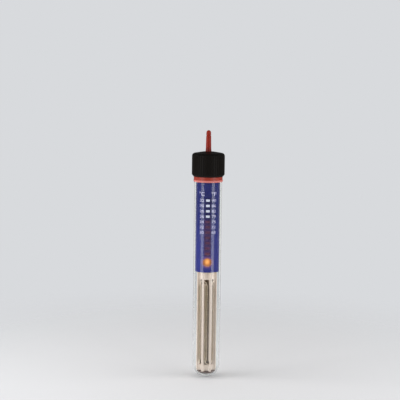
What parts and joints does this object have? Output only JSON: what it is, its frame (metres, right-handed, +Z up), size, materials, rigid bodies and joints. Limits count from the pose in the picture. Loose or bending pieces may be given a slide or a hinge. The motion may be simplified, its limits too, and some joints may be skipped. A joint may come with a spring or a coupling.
{
  "type": "submersible aquarium heater",
  "caption": "Glass tube aquarium heater with a ribbed cap, a red setting stem, a windowed temperature scale, a pilot lamp and a coiled ceramic element.",
  "frame": {"origin": "centre of the straight glass that a holder grips, on the tube's axis", "axes": "+Z up along the tube towards the stem, the scale faces -Y"},
  "size_m": [0.026, 0.026, 0.2],
  "materials": {
    "clear_glass": "clear, polished",
    "red_silicone": "satin",
    "black_cap": "satin, moulded ribs",
    "black_rubber": "matt",
    "ivory_plastic": "satin",
    "steel": "satin",
    "brass": "satin",
    "blue_film": "gloss, printed numbers",
    "white_strip": "matt",
    "red_strip": "matt",
    "frame_board": "matt",
    "copper_alloy": "satin",
    "silver": "polished",
    "ferrite": "matt",
    "lamp_glass": "clear",
    "lamp_resistor": "satin",
    "capacitor": "satin",
    "mica": "satin",
    "white_ceramic": "unglazed",
    "resistance_wire": "oxidised",
    "dark_rubber": "matt",
    "cream_insulation": "satin",
    "blue_insulation": "satin",
    "brown_insulation": "satin",
    "red_knob": "satin",
    "white_nylon": "satin",
    "red_flag": "matt",
    "spring_steel": "satin",
    "bimetal": "satin"
  },
  "bodies": {
    "heater_body": {"glass_tube": "clear_glass", "mouth_seal": "red_silicone", "cap_shell": "black_cap", "cord_gland": "black_rubber", "head_plug": "ivory_plastic", "shaft_o_ring": "black_rubber", "o_ring_washer": "steel", "plug_terminals": "brass", "scale_sleeve": "blue_film", "scale_backing": "white_strip", "lower_red_strip": "red_strip", "chassis_frame": "frame_board", "screw_bracket": "steel", "bracket_rivets": "steel", "contact_bracket": "copper_alloy", "fixed_contact": "silver", "snap_magnet": "ferrite", "bimetal_bracket": "copper_alloy", "bimetal_screw": "steel", "lever_bracket": "steel", "lever_pin": "steel", "neon_lamp": "lamp_glass", "lamp_electrodes": "steel", "lamp_resistor": "lamp_resistor", "suppressor_capacitor": "capacitor", "heat_shield": "mica", "upper_insulator": "white_ceramic", "ceramic_core": "white_ceramic", "lower_insulator": "white_ceramic", "heating_coil": "resistance_wire", "coil_terminals": "steel", "tie_rod": "steel", "tie_rod_nuts": "steel", "buffer_ring": "dark_rubber", "contact_wire": "cream_insulation", "neutral_wire": "blue_insulation", "live_wire": "brown_insulation"},
    "adjuster": {"adjuster_knob": "red_knob", "lead_screw": "brass", "shaft_clip": "steel"},
    "indicator": {"indicator_carriage": "white_nylon", "indicator_flag": "red_flag"},
    "lever": {"bias_lever": "steel", "bias_spring": "spring_steel"},
    "bimetal": {"bimetal_strip": "bimetal", "moving_contact": "silver", "snap_armature": "steel"}
  },
  "joints": [
    {"name": "adjuster_turn", "type": "hinge", "parent": "heater_body", "child": "adjuster", "pos_m": [0, 0, 0.09825], "axis": [0, 0, 1], "range_deg": [-720, 360]},
    {"name": "indicator_slide", "type": "slide", "parent": "heater_body", "child": "indicator", "axis": [0, 0, 1], "range_m": [-0.0085, 0.017]},
    {"name": "bias_lever_swing", "type": "hinge", "parent": "heater_body", "child": "lever", "pos_m": [0, 0.0064, 0.05085], "axis": [1, 0, 0], "range_deg": [-2.74, 1.37], "deforming": ["bias_spring"]},
    {"name": "bimetal_flex", "type": "hinge", "parent": "heater_body", "child": "bimetal", "pos_m": [0, 0.00765, 0.06485], "axis": [1, 0, 0], "range_deg": [0, 0.8], "stiffness_Nm_per_rad": 0.02, "springref_deg": -1.15}
  ],
  "couplings": [
    {"joint": "adjuster_turn", "follows": "indicator_slide", "rad_per_m": -739.19},
    {"joint": "bias_lever_swing", "follows": "indicator_slide", "rad_per_m": -2.8011}
  ]
}
